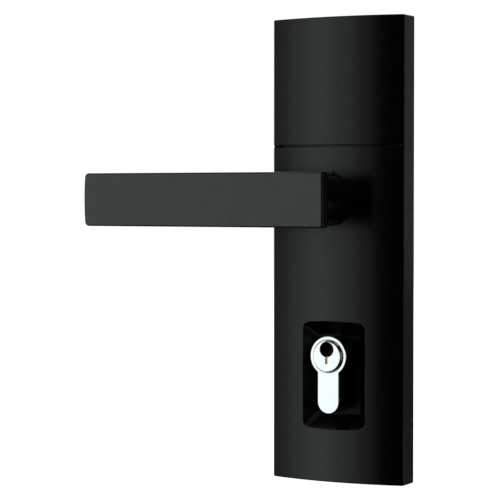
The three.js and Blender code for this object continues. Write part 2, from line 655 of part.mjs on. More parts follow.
const cylinder = group(
  piece("cylinder_body", cylinderBody(), brightChrome),
  piece("cylinder_plug", plug(), brass),
  piece("cylinder_cam", cam(), zincSteel),
  piece("plug_circlip", retainingRing(PLUG_CLIP, Math.PI / 2), springSteel),
);
pinPlaces.forEach((y, i) => {
  const at = [0, y, 0];
  cylinder.add(
    piece(`key_pin_${i + 1}`, keyPin(PINS.lengths[i]), brass, at),
    piece(`driver_pin_${i + 1}`, driverPin(), brass, at),
    piece(`pin_spring_${i + 1}`, pinSpring(), springSteel, at),
    piece(`chamber_plug_${i + 1}`, chamberPlug(), brass, at),
  );
});
cylinder.position.z = CYLINDER.z;

const lockset = group(escutcheon, bearing, leverGroup, cylinder);

export default lockset;
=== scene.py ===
"""The outside half of a lever handle lockset, in black powder coat with a chrome half cylinder.

Shapes are drawn in millimetres in the CAD's frame (+X right, +Y into the door, +Z up, the origin on the
spindle's axis at the door's face) and scaled to metres when a piece is finished.
"""

import json
import math

import bmesh
import bpy
import numpy as np
from mathutils import Matrix, Vector


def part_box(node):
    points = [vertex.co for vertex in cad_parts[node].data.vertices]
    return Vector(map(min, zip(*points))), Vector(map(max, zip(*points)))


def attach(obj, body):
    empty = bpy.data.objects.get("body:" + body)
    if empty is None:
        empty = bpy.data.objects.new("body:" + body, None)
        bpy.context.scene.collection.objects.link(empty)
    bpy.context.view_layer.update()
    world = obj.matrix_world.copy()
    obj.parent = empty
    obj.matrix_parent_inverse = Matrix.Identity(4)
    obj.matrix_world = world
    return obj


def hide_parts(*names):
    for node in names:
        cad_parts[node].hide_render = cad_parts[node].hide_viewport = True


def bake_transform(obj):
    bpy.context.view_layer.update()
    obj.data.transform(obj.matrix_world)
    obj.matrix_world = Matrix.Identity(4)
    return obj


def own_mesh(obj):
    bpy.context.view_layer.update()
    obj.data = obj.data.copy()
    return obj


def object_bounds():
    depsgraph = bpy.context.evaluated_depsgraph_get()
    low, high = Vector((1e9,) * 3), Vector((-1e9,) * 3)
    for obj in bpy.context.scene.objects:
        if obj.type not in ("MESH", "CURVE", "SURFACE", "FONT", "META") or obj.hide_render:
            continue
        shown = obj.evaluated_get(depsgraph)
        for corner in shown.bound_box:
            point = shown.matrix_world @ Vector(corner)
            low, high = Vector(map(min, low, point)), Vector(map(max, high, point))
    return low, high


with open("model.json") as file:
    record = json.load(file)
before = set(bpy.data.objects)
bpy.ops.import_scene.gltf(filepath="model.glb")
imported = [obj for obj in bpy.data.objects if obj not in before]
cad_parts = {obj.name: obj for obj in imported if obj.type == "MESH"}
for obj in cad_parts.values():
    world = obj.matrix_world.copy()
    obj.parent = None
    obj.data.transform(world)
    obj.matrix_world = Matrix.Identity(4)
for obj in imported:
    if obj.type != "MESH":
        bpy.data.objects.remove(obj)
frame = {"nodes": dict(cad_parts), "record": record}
CAD_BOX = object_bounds()

MM = 0.001
SHARP_ANGLE = math.radians(32)
TURN = 2 * math.pi
NEEDLE = 1e-3  # the least radius of a turned ring
PAST = 1.0  # how far a cutter reaches past what it cuts


def cad_box(node):
    """The lowest and highest corners of a CAD node, in millimetres."""
    low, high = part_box(node)
    return np.array(low) / MM, np.array(high) / MM


def cad_box_y(node):
    """Where a CAD node starts and ends along Y."""
    low, high = cad_box(node)
    return float(low[1]), float(high[1])


def centre(node):
    low, high = cad_box(node)
    return (low + high) / 2


def linked(name, data):
    """A new object in the scene."""
    made = bpy.data.objects.new(name, data)
    bpy.context.scene.collection.objects.link(made)
    return made


# ---- Solids from rings of points ----


def solid(name, rings, joined=False):
    """A closed solid through rings of points, capped at its ends or joined from last to first."""
    count, size = len(rings), len(rings[0])
    faces = []
    for k in range(count if joined else count - 1):
        near, far = k * size, (k + 1) % count * size
        for i in range(size):
            j = (i + 1) % size
            faces.append((near + i, near + j, far + j, far + i))
    if not joined:
        faces.append(tuple(reversed(range(size))))
        faces.append(tuple(range((count - 1) * size, count * size)))
    mesh = bpy.data.meshes.new(name)
    mesh.from_pydata(np.concatenate(rings).tolist(), [], faces)
    shape = bmesh.new()
    shape.from_mesh(mesh)
    bmesh.ops.recalc_face_normals(shape, faces=shape.faces)
    if shape.calc_volume(signed=True) < 0:
        bmesh.ops.reverse_faces(shape, faces=shape.faces)
    shape.to_mesh(mesh)
    shape.free()
    return linked(name, mesh)


def combine(target, operation, tools):
    """Joins the tools to the target or cuts them from it, and removes them."""
    for tool in tools:
        step = target.modifiers.new(operation, "BOOLEAN")
        step.operation = operation
        step.object = tool
        step.solver = "EXACT"
        step.material_mode = "TRANSFER"
    depsgraph = bpy.context.evaluated_depsgraph_get()
    made = bpy.data.meshes.new_from_object(target.evaluated_get(depsgraph), depsgraph=depsgraph)
    target.modifiers.clear()
    target.data = made
    for tool in tools:
        bpy.data.objects.remove(tool)
    return target


def cut(target, *tools):
    return combine(target, "DIFFERENCE", tools)


def joined(target, *tools):
    return combine(target, "UNION", tools)


def rounded(profile, radius, steps=4, closed=False):
    """The polyline with each corner turned into an arc; radius is one number, or one for each point."""
    points = [np.array(p, float) for p in profile]
    radii = [radius] * len(points) if np.isscalar(radius) else radius
    made = []
    for i, point in enumerate(points):
        if not closed and i in (0, len(points) - 1) or radii[i] == 0:
            made.append(point)
            continue
        before, after = points[i - 1], points[(i + 1) % len(points)]
        back, ahead = before - point, after - point
        reach = [np.linalg.norm(back), np.linalg.norm(ahead)]
        back, ahead = back / reach[0], ahead / reach[1]
        half = math.acos(max(-1.0, min(1.0, float(back @ ahead)))) / 2
        longest = 0.48 * min(reach)  # keeps the arcs of neighbouring corners apart
        trim = min(radii[i] / math.tan(half), longest)
        start, end = point + back * trim, point + ahead * trim
        centre = point + (back + ahead) / np.linalg.norm(back + ahead) * trim / math.cos(half)
        spoke, other = start - centre, end - centre
        swing = math.atan2(spoke[0] * other[1] - spoke[1] * other[0], float(spoke @ other))
        for k in range(steps + 1):
            turn = swing * k / steps
            c, s = math.cos(turn), math.sin(turn)
            made.append(centre + np.array([c * spoke[0] - s * spoke[1], s * spoke[0] + c * spoke[1]]))
    return made


def without_axis(profile):
    """Drops the axis points of flat ends, which the end caps close."""
    points = list(profile)
    if points[0][0] == 0 and points[0][1] == points[1][1]:
        points = points[1:]
    if points[-1][0] == 0 and points[-1][1] == points[-2][1]:
        points = points[:-1]
    return points


def rounds(profile, sides):
    """The rings of a turned profile: their points' two offsets from the axis, and the place along it."""
    angles = np.linspace(0, TURN, sides, endpoint=False)
    for radius, along in without_axis(profile):
        radius = max(radius, NEEDLE)
        yield radius * np.cos(angles), radius * np.sin(angles), np.full(sides, along)


def turned(name, profile, sides, x=0.0, z=0.0, joined_up=False):
    """A profile of (radius, y) turned about the line along Y through x, z."""
    rings = [np.column_stack([x + right, y, z + up]) for right, up, y in rounds(profile, sides)]
    return solid(name, rings, joined_up)


def upright(name, profile, sides, y):
    """A profile of (radius, z) turned about the upright line through x = 0 and y."""
    return solid(name, [np.column_stack([right, y + back, z]) for right, back, z in rounds(profile, sides)])


def eased(edge, steps, closing=False):
    """The (inset, depth) levels of an edge's rounding, from the end inwards, or closing towards it."""
    made = []
    for k in range(steps + 1 if edge else 1):
        turn = math.pi / 2 * (1 - k / steps if closing else k / steps)
        made.append((edge * (1 - math.sin(turn)), edge * (1 - math.cos(turn))))
    return made


def slab(name, outline, y0, y1, front=0.0, back=0.0, steps=4):
    """The outline, a function of inset that gives points in X and Z, from y0 to y1 with rounded edges."""
    levels = [(inset, y0 + depth) for inset, depth in eased(front, steps)]
    levels += [(inset, y1 - depth) for inset, depth in eased(back, steps, closing=True)]
    rings = []
    for inset, y in levels:
        points = np.array(outline(inset))
        rings.append(np.column_stack([points[:, 0], np.full(len(points), y), points[:, 1]]))
    return solid(name, rings)


def box(name, x0, x1, y0, y1, z0, z1):
    corners = [(x0, z0), (x1, z0), (x1, z1), (x0, z1)]
    return solid(name, [np.array([(x, y, z) for x, z in corners]) for y in (y0, y1)])


def arc(x, z, radius, start, end, count):
    """Points on an arc in the XZ plane, angles in degrees from +X towards +Z."""
    angles = np.radians(np.linspace(start, end, count))
    return np.column_stack([x + radius * np.cos(angles), z + radius * np.sin(angles)])


def rounded_rectangle(half_width, z0, z1, corner, count=8, rows=1):
    """Its points, anticlockwise from the middle of the bottom; rows splits the straight sides."""
    x, low, high = half_width - corner, z0 + corner, z1 - corner
    corners = [
        arc(x, low, corner, -90, 0, count),
        arc(x, high, corner, 0, 90, count),
        arc(-x, high, corner, 90, 180, count),
        arc(-x, low, corner, 180, 270, count),
    ]
    made = []
    for k, part in enumerate(corners):
        following = corners[(k + 1) % 4][0]
        made.append(part)
        if rows > 1:
            shares = np.linspace(0, 1, rows + 1)[1:-1, None]
            made.append(part[-1] + (following - part[-1]) * shares)
    return np.concatenate(made)


# ---- Materials ----


class Nodes:
    """A new material's node tree, with its Principled shader."""

    def __init__(self, name, **values):
        self.material = bpy.data.materials.new(name)
        self.material.use_nodes = True
        self.tree = self.material.node_tree
        self.shader = self.tree.nodes["Principled BSDF"]
        for key, value in values.items():
            self.shader.inputs[key.replace("_", " ")].default_value = value
        self.coordinates = self.add("ShaderNodeTexCoord").outputs["Object"]

    def add(self, kind, **settings):
        node = self.tree.nodes.new(kind)
        for key, value in settings.items():
            setattr(node, key, value)
        return node

    def link(self, source, target):
        self.tree.links.new(source, target)

    def stretched(self, scale):
        node = self.add("ShaderNodeMapping")
        node.inputs["Scale"].default_value = scale
        self.link(self.coordinates, node.inputs["Vector"])
        return node.outputs["Vector"]

    def noise(self, size_mm, detail=2.0, stretch=(1, 1, 1)):
        """Noise with features of about this size."""
        node = self.add("ShaderNodeTexNoise")
        node.inputs["Scale"].default_value = 1
        node.inputs["Detail"].default_value = detail
        each = 1 / (size_mm * MM)
        self.link(self.stretched([each * s for s in stretch]), node.inputs["Vector"])
        return node.outputs["Fac"]

    def ranged(self, value, low, high, from_low=0.3, from_high=0.7):
        node = self.add("ShaderNodeMapRange")
        node.inputs["From Min"].default_value = from_low
        node.inputs["From Max"].default_value = from_high
        node.inputs["To Min"].default_value = low
        node.inputs["To Max"].default_value = high
        self.link(value, node.inputs["Value"])
        return node.outputs["Result"]

    def mixed(self, value, first, second):
        """A colour that goes from the first to the second as the noise goes up."""
        node = self.add("ShaderNodeMix", data_type="RGBA")
        self.link(self.ranged(value, 0, 1), node.inputs["Factor"])
        for socket, colour in (("A", first), ("B", second)):
            target = [s for s in node.inputs if s.name == socket and s.type == "RGBA"][0]
            target.default_value = (*colour, 1)
        return [s for s in node.outputs if s.type == "RGBA"][0]

    def bump(self, height, depth_mm, before=None):
        node = self.add("ShaderNodeBump")
        node.inputs["Strength"].default_value = 1
        node.inputs["Distance"].default_value = depth_mm * MM
        self.link(height, node.inputs["Height"])
        if before is not None:
            self.link(before, node.inputs["Normal"])
        return node.outputs["Normal"]

    def finish(self, colour, roughness, normal):
        for value, socket in ((colour, "Base Color"), (roughness, "Roughness"), (normal, "Normal")):
            self.link(value, self.shader.inputs[socket])
        return self.material


def black_coat(name, dark, light, roughness, specular):
    """Satin black powder coat: a fine orange peel, and a faint cloud in its colour and gloss."""
    nodes = Nodes(f"black_powder_coat{name}", Metallic=0.0, IOR=1.5, Specular_IOR_Level=specular)
    cloud = nodes.noise(18, detail=3)
    grain = nodes.noise(0.35, detail=2)
    colour = nodes.mixed(cloud, dark, light)
    gloss = nodes.ranged(nodes.noise(4, detail=4), roughness - 0.02, roughness + 0.03)
    peel = nodes.bump(nodes.noise(1.4, detail=1), 0.0035)
    return nodes.finish(colour, gloss, nodes.bump(grain, 0.0022, peel))


def clouded(name, dark, light, cloud, gloss, depth_mm, relief=None, shine=None, metallic=1.0, ior=1.5):
    """A material with a cloud in its colour, and noise in its relief and its shine.

    A noise is given by its size, detail and stretch. Relief and shine follow the cloud if they are not given.
    """
    nodes = Nodes(name, Metallic=metallic, IOR=ior)
    cloud = nodes.noise(*cloud)
    relief = nodes.noise(*relief) if relief else cloud
    shine = nodes.noise(*shine) if shine else cloud
    colour = nodes.mixed(cloud, dark, light)
    return nodes.finish(colour, nodes.ranged(shine, *gloss), nodes.bump(relief, depth_mm))


BRUSHED = (0.12, 2, (1, 0.2, 0.05))
LATHED = (0.1, 2, (0.2, 1, 0.2))

PLATE_COAT = black_coat("", (0.0010, 0.0012, 0.0013), (0.0016, 0.0018, 0.0020), 0.20, 0.32)
# A darker, duller copy of the black coat: painted shade for the pocket's floor and for the steps at the
# joint's ends.
PAINTED_SHADE_COAT = black_coat("_painted_shade", (0.0006, 0.0007, 0.0009), (0.0010, 0.0011, 0.0013), 0.30, 0.08)
# A lighter, glossier copy of the black coat for the lever: its colour painted lighter, as the light on the
# lever's face.
LIT_LEVER_COAT = black_coat("_lever", (0.0080, 0.0092, 0.0110), (0.0110, 0.0125, 0.0150), 0.34, 0.58)
CHROME = clouded(
    "satin_chrome", (0.86, 0.87, 0.88), (0.92, 0.92, 0.92), (6, 3), (0.13, 0.22), 0.0006, BRUSHED, BRUSHED
)
BRASS = clouded(
    "turned_brass", (0.60, 0.36, 0.10), (0.78, 0.52, 0.19), (2.5, 4), (0.2, 0.36), 0.001, LATHED, LATHED
)
# Brass painted dark brown, as the shade deep in the key's entry and in the bore that the plug turns in.
SHADED_BRASS = clouded(
    "shade_painted_brass", (0.030, 0.020, 0.012), (0.075, 0.048, 0.022), (0.8, 4), (0.35, 0.5), 0.002
)
# Bright zinc plate over rolled steel: a faint straw and blue cloud, fine rolling lines, a blotched shine.
ZINC_STEEL = clouded(
    "zinc_plated_steel", (0.52, 0.55, 0.58), (0.66, 0.65, 0.60), (9, 4), (0.26, 0.42), 0.0008,
    relief=(0.25, 3, (1, 1, 0.04)), shine=(3.5, 5),
)
SPRING_STEEL = clouded(
    "drawn_spring_steel", (0.22, 0.22, 0.24), (0.42, 0.42, 0.43), (1.5, 4), (0.25, 0.4), 0.001, (0.1, 2)
)
CAST_ZINC = clouded(
    "cast_zinc", (0.36, 0.37, 0.38), (0.52, 0.53, 0.54), (2, 5), (0.42, 0.6), 0.01, (0.3, 4)
)
ACETAL = clouded(
    "natural_acetal", (0.70, 0.69, 0.63), (0.78, 0.77, 0.72), (3, 2), (0.38, 0.48), 0.003, (0.4, 2),
    metallic=0.0, ior=1.48,
)
LOOKS = {
    "black_coat": PLATE_COAT,
    "chrome": CHROME,
    "plug_metal": CHROME,
    "brass": BRASS,
    "zinc_steel": ZINC_STEEL,
    "spring_steel": SPRING_STEEL,
    "cast_zinc": CAST_ZINC,
    "nylon": ACETAL,
}


def paint(piece, material):
    """Gives the material to each of the piece's slots that has none."""
    if not piece.data.materials:
        piece.data.materials.append(material)
    for i, given in enumerate(piece.data.materials):
        if given is None:
            piece.data.materials[i] = material
    return piece


def paint_where(piece, material, chosen):
    """Gives the material to the faces whose centre is chosen."""
    paint(piece, material)
    if material not in piece.data.materials[:]:
        piece.data.materials.append(material)
    index = piece.data.materials[:].index(material)
    for face in piece.data.polygons:
        if chosen(face.center):
            face.material_index = index
    return piece


BODIES = frame["record"]["behaviour"]["bodies"]
BODY_OF = {node: body for body, nodes in BODIES.items() for node in nodes}
SLOT_OF = {part["node"]: part["material_slot"] for part in frame["record"]["subparts"]}


def finished(piece, node, twist=None):
    """Scales a drawn piece to metres, gives it its finish, and puts it in the place of its CAD node.

    Faces that have no material get that of the node's slot. The piece rides on the node's body,
    unless a twist is given; then it keeps its place on no body, and the twist's bodies and places are not
    used.
    """
    piece.data.transform(Matrix.Diagonal((MM, MM, MM, 1)))
    paint(piece, LOOKS[SLOT_OF[node]])
    piece.data.shade_smooth()
    piece.data.set_sharp_from_angle(angle=SHARP_ANGLE)
    piece.modifiers.new("even_shading", "WEIGHTED_NORMAL").keep_sharp = True
    if twist:
        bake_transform(piece)
    else:
        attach(piece, BODY_OF[node])
    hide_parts(node)
    return piece


# ---- The plate and its cover ----

PLATE_LOW, PLATE_HIGH = cad_box("front_plate")
COVER_LOW, COVER_HIGH = cad_box("top_cover")
HALF = float(PLATE_HIGH[0])
FRONT = float(PLATE_LOW[1])
SIDE = 10.6  # how far the flat side walls stand out from the door
CROWN = -FRONT - SIDE
CROWN_RADIUS = (HALF**2 + CROWN**2) / (2 * CROWN)
CROWN_CENTRE = CROWN_RADIUS + FRONT
EDGE = 0.7  # the rounding between the crowned face and the sides
WALL = 2.3
SPLIT = 22.85  # the top of the main plate's face
TONGUE = {"start": SPLIT - 1, "end": 27.85, "outside": WALL + 0.35, "inside": WALL + 1.95, "back": -2.0}
SHOULDER = -9.66  # where the cover sits on the plate's walls
JOINT = 0.12
PLATE_EDGES = (0.6, 0.45)  # the rounding of its lower end, and of its face at the joint
COVER_EDGES = (0.3, 0.6)
FRAME_EDGES = (0.2, 0.6)
FRAME_START = SPLIT - 1.2
SHEET_SEAT = -1.8  # the back plate lies just behind this
STEP = {"inner": 28.5, "outer": 30.75, "front": -10.35, "rise": 0.4, "root": 0.5}  # at the joint's ends
BOSS = {"radius": 16.8, "front": -13.0, "back": -8.5}  # round the lever's bearing
BEARING = {"radius": 12.2, "front": -13.2, "back": -5.0}
NECK_HOLE = {"radius": 10.6, "mouth": 11.4}
OPENING = {"gap": 0.1, "front": -12}  # round the cylinder
CROWN_STEPS = 44
ROW = 2.0  # between the rings along the plate


def surface(x):
    """Y of the crowned face at this X."""
    return CROWN_CENTRE - math.sqrt(CROWN_RADIUS**2 - x**2)


def section(inset, z):
    """The plate's cross-section at this height, its front and sides moved in by inset."""
    half = HALF - EDGE
    centre = CROWN_CENTRE - math.sqrt((CROWN_RADIUS - EDGE) ** 2 - half**2)
    tilt = math.atan2(half, CROWN_CENTRE - centre)
    radius = EDGE - inset
    right = [(HALF - inset, 0.0), (HALF - inset, centre / 2)]
    for angle in np.linspace(math.pi / 2, tilt, 6):
        right.append((half + radius * math.sin(angle), centre - radius * math.cos(angle)))
    face = []
    for angle in np.linspace(tilt, -tilt, CROWN_STEPS + 1)[1:-1]:
        reach = CROWN_RADIUS - inset
        face.append((reach * math.sin(angle), CROWN_CENTRE - reach * math.cos(angle)))
    left = [(-x, y) for x, y in reversed(right)]
    return np.array([(x, y, z) for x, y in right + face + left])


def envelope(name, low, high, low_edge, high_edge):
    """The plate's outer form from low to high, with its end edges rounded."""
    levels = [(inset, low + depth) for inset, depth in eased(low_edge, 4)]
    rows = max(1, round((high - low) / ROW))
    for z in np.linspace(low + low_edge, high - high_edge, rows + 1)[1:-1]:
        levels.append((0.0, float(z)))
    levels += [(inset, high - depth) for inset, depth in eased(high_edge, 4, closing=True)]
    return solid(name, [section(inset, z) for inset, z in levels])


def cavity(low, high, inset=WALL, back=PAST):
    """The hollow behind the face."""
    half, reach = HALF - inset, CROWN_RADIUS - inset
    edge = math.asin(half / reach)
    angles = np.linspace(edge, -edge, 17)
    face = [(reach * math.sin(angle), CROWN_CENTRE - reach * math.cos(angle)) for angle in angles]
    outline = [(half, back), *face, (-half, back)]
    return solid("cavity", [np.array([(x, y, z) for x, y in outline]) for z in (low, high)])


POCKET = {"z": -75.25, "half_width": 15.1, "half_height": 22.85, "corner": 2.6, "plane": -14.5}
FLOOR = {"y": -8.0, "half_width": 10.0, "half_height": 17.3, "corner": 2.0, "round": 1.2}
RIM = 0.9  # the rounding of the pocket's rim
PAINTED_SHADE_RISE = 1.0  # how far up from the floor the darker coat is painted on, as shade in the pocket
POCKET_WALL = 2.0


def pocket_outline(kind, extra=0.0):
    """The outline of the pocket's floor or of its mouth, seen from the front."""
    width, height = kind["half_width"] + extra, kind["half_height"] + extra
    low, high = POCKET["z"] - height, POCKET["z"] + height
    return rounded_rectangle(width, low, high, kind["corner"] + extra, count=9, rows=14)


def pocket_cutter():
    """The pocket's hollow: a flat floor, sloping walls, and a rim rounded into the crowned face."""
    columns = []
    for low, high in zip(pocket_outline(FLOOR), pocket_outline(POCKET)):
        run, rise = float(np.linalg.norm(high - low)), FLOOR["y"] - POCKET["plane"]
        outward = (high - low) / run
        share = 1.0
        for _ in range(6):  # where the wall meets the crowned face
            share = (FLOOR["y"] - surface(low[0] + (high[0] - low[0]) * share)) / rise
        lip = np.array([run * share, rise * share])
        lip_x = low[0] + outward[0] * lip[0]
        tangent = np.array([1.0, surface(lip_x) - surface(lip_x + outward[0])])
        path = [(-3.0, 0.0), (0.0, 0.0), lip, lip + 4.0 * tangent]
        soft = rounded(path, [0, FLOOR["round"], RIM, 0], steps=5)[:-2]
        last = (soft[-1] - soft[-2]) / np.linalg.norm(soft[-1] - soft[-2])
        soft.append(soft[-1] + 3.0 * last)  # on past the face, where it cuts nothing
        column = [low + outward * along for along, up in soft]
        columns.append([(x, FLOOR["y"] - up, z) for (x, z), (along, up) in zip(column, soft)])
    rings = list(np.array(columns).transpose(1, 0, 2))
    lid = rings[-1].copy()
    lid[:, 1] = FRONT - 6 * PAST
    cutter = paint(solid("pocket", [*rings, lid]), PLATE_COAT)
    # The floor and its rounding get the darker coat, as painted shade deep in the pocket.
    return paint_where(cutter, PAINTED_SHADE_COAT, lambda centre: centre.y > FLOOR["y"] - PAINTED_SHADE_RISE)


def pocket_walls():
    """The casting round the pocket, seen only through the gap round the cylinder."""
    inner = pocket_outline(FLOOR, POCKET_WALL)
    outer = pocket_outline(POCKET, POCKET_WALL)
    back = FLOOR["y"] + POCKET_WALL
    front = surface(POCKET["half_width"] + POCKET_WALL) + 0.4  # just behind the face
    low = np.column_stack([inner[:, 0], np.full(len(inner), back), inner[:, 1]])
    high = np.column_stack([outer[:, 0], np.full(len(outer), front), outer[:, 1]])
    return solid("walls", [low, high])


CYLINDER_Z = -66.6
EURO = {"head": 8.5, "web": 5.0, "foot": 19.5}  # two radii, and the height between their centres


def euro(inset):
    """The euro profile's outline."""
    head, web = EURO["head"] - inset, EURO["web"] - inset
    notch = math.degrees(math.asin(web / head))
    upper = arc(0, CYLINDER_Z, head, notch - 90, 270 - notch, 97)
    lower = arc(0, CYLINDER_Z - EURO["foot"], web, 180, 360, 41)
    return np.concatenate([upper, lower])


def tongue():
    """The lip of the plate that runs under the cover's foot."""
    low, high = TONGUE["start"], TONGUE["end"]
    outer = cavity(low, high, TONGUE["outside"], TONGUE["back"])
    return cut(outer, cavity(low - PAST, high + PAST, TONGUE["inside"]))


def cover_frame():
    """The plate's side and top walls behind the cover."""
    low, high = FRAME_START, float(PLATE_HIGH[2])
    walls = envelope("walls", low, high, *FRAME_EDGES)
    past = HALF + PAST
    front = box("front", -past, past, FRONT - PAST, SHOULDER, low - PAST, high + PAST)
    inside = box("inside", WALL - HALF, HALF - WALL, FRONT, PAST, low - PAST, high - WALL)
    return cut(walls, front, inside)


def joint_ends():
    """A step of the plate at each end of the joint, so that no light comes through there."""
    bottom, top, back = SPLIT - STEP["root"], SPLIT + STEP["rise"], SHOULDER + STEP["root"]
    spans = [(-STEP["outer"], -STEP["inner"]), (STEP["inner"], STEP["outer"])]
    ends = [box("step", x0, x1, STEP["front"], back, bottom, top) for x0, x1 in spans]
    # The steps are painted in the darker coat, as painted shade in the joint.
    return [paint(end, PAINTED_SHADE_COAT) for end in ends]


def front_plate():
    """The main casting: crowned face, side walls, pocket, bearing boss and the frame behind the cover."""
    low = float(PLATE_LOW[2])
    plate = paint(envelope("escutcheon_plate", low, SPLIT, *PLATE_EDGES), PLATE_COAT)
    plate = cut(plate, cavity(low + WALL, SPLIT - WALL))
    boss = turned("boss", [(BOSS["radius"], BOSS["front"]), (BOSS["radius"], BOSS["back"])], 64)
    plate = joined(plate, pocket_walls(), boss, cover_frame(), tongue(), *joint_ends())
    half, top = HALF - WALL, TONGUE["end"] + PAST
    sheet_seat = box("sheet_seat", -half, half, SHEET_SEAT, PAST, low + WALL, top)
    radius, mouth = NECK_HOLE["radius"], NECK_HOLE["mouth"]
    neck = [(radius, BEARING["back"]), (radius, FRONT + 0.3), (radius + 0.15, FRONT + 0.1)]
    neck += [(mouth, FRONT - 0.3), (mouth, FRONT - 3 * PAST)]
    radius = BEARING["radius"]
    seat = turned("seat", [(radius, BEARING["front"]), (radius, BEARING["back"])], 64)
    opening = slab("opening", lambda inset: euro(inset - OPENING["gap"]), OPENING["front"], PAST)
    return cut(plate, sheet_seat, pocket_cutter(), turned("neck_hole", neck, 96), seat, opening)


def top_cover():
    """The crowned shell above the joint, which sits on the plate's walls."""
    low, high = float(COVER_LOW[2]), float(COVER_HIGH[2])
    cover = envelope("top_cover_shell", low, high, *COVER_EDGES)
    past = HALF + PAST
    behind = box("behind", -past, past, SHOULDER - JOINT, PAST, low - PAST, high + PAST)
    return cut(cover, cavity(low - PAST, high - WALL), behind)


PILLARS = ("upper_fixing_pillar", "lower_fixing_pillar")
SCREWS = [f"plate_screw_{i}" for i in range(1, 5)] + [f"cover_screw_{i}" for i in range(1, 3)]
SHEET = {"corner": 2.0, "front_edge": 0.15, "back_edge": 0.3, "cylinder_gap": 0.45}
SHEET_HOLES = {"journal": 8.6, "pillar": 4.2, "screw": 1.6, "sink": 3.0}  # their radii


def back_plate():
    """The sheet that closes the plate from behind, pierced and countersunk."""
    low, high = cad_box("back_plate")
    front = low[1] - PAST

    def outline(inset):
        corner = SHEET["corner"] - inset
        return rounded_rectangle(high[0] - inset, low[2] + inset, high[2] - inset, corner, 9)

    sheet = slab("back_plate_sheet", outline, low[1], high[1], SHEET["front_edge"], SHEET["back_edge"])
    radius = SHEET_HOLES["journal"]
    mouth = radius + 0.3
    holes = [turned("hole", [(radius, front), (radius, -0.35), (mouth, 0.01), (mouth, PAST)], 72)]
    holes.append(slab("opening", lambda inset: euro(inset - SHEET["cylinder_gap"]), front, PAST))
    for node in PILLARS:
        radius = SHEET_HOLES["pillar"]
        holes.append(turned("hole", [(radius, front), (radius, PAST)], 40, 0, centre(node)[2]))
    for node in SCREWS:
        x, _, z = centre(node)
        radius, head = SHEET_HOLES["screw"], SHEET_HOLES["sink"]
        sink = [(radius, front), (radius, low[1]), (head, -0.15), (head, PAST)]
        holes.append(turned("sink", sink, 40, x, z))
    return cut(sheet, *holes)


def cross_recess(x, z, face, reach, half, depth):
    """A tapered cross, as a driver's tip makes it, opening at y = face."""
    rings = []
    for share, y in ((1.15, face + 0.3 * depth), (1.0, face), (0.55, face - depth)):
        a, b = reach * share, half * (0.6 + 0.4 * share)
        corner = [(b, b), (b, a), (-b, a), (-b, b), (-a, b), (-a, -b)]
        outline = corner + [(-px, -pz) for px, pz in corner]
        rings.append(np.array([(x + px, y, z + pz) for px, pz in outline]))
    return solid("recess", rings)


SCREW = {"radius": 1.3, "tip": 0.8, "tip_length": 0.6, "head_depth": 1.4, "rim": 0.22}
CROSS = {"reach": 1.45, "half": 0.32, "depth": 1.15}
THREAD = {"radius": 2.05, "pitch": 0.8, "depth": 0.48}  # M5
FLANGE = {"radius": 6, "thickness": 1.4}
PILLAR = {"radius": 4, "tip": 3.4, "tip_length": 0.6, "mouth": 2.9}


def countersunk_screw(node):
    """One of the screws that hold the back plate; its head is flush with the sheet."""
    low, high = cad_box(node)
    x, _, z = centre(node)
    shank, head, start, face = SCREW["radius"], high[0] - x, low[1], high[1]
    profile = [(0, start), (SCREW["tip"], start), (shank, start + SCREW["tip_length"])]
    profile += [(shank, face - SCREW["head_depth"]), (head, face - SCREW["rim"]), (head, face), (0, face)]
    body = turned(f"{node}_turned", rounded(profile, [0, 0.1, 0, 0.15, 0.08, 0.08, 0], 3), 48, x, z)
    return cut(body, cross_recess(x, z, face, **CROSS))


def helix_bore(name, y0, y1, z=0.0):
    """A cutter that leaves a thread in a hole along Y."""
    radius, pitch, depth = THREAD["radius"], THREAD["pitch"], THREAD["depth"]
    sides, per_turn = 24, 6
    angles = np.linspace(0, TURN, sides, endpoint=False)
    rings = []
    for k in range(round((y1 - y0) / pitch * per_turn) + 1):
        y = y0 + k * pitch / per_turn
        phase = (y / pitch - angles / TURN) % 1
        reach = radius + depth * (1 - np.abs(2 * phase - 1))
        ring = [reach * np.cos(angles), np.full(sides, y), z + reach * np.sin(angles)]
        rings.append(np.column_stack(ring))
    return solid(name, rings)


def fixing_pillar(node):
    """A tapped post that reaches through the back plate into the door."""
    low, high = cad_box(node)
    z = centre(node)[2]
    front, back = low[1], high[1]
    flange, radius, neck = FLANGE["radius"], PILLAR["radius"], front + FLANGE["thickness"]
    profile = [(0, front), (flange, front), (flange, neck), (radius, neck)]
    profile += [(radius, back - PILLAR["tip_length"]), (PILLAR["tip"], back), (0, back)]
    post = turned(f"{node}_turned", rounded(profile, [0, 0.2, 0.15, 0, 0.1, 0.1, 0], 3), 64, 0, z)
    mouth = [(THREAD["radius"], back - 1.0), (PILLAR["mouth"], back + 0.01), (PILLAR["mouth"], back + PAST)]
    return cut(post, helix_bore("tapping", 1.0, back + 0.5, z), turned("mouth", mouth, 40, 0, z))


finished(front_plate(), "front_plate")
finished(top_cover(), "top_cover")
finished(back_plate(), "back_plate")
for node in SCREWS:
    finished(countersunk_screw(node), node)
for node in PILLARS:
    finished(fixing_pillar(node), node)

# ---- The lever and its bearing ----

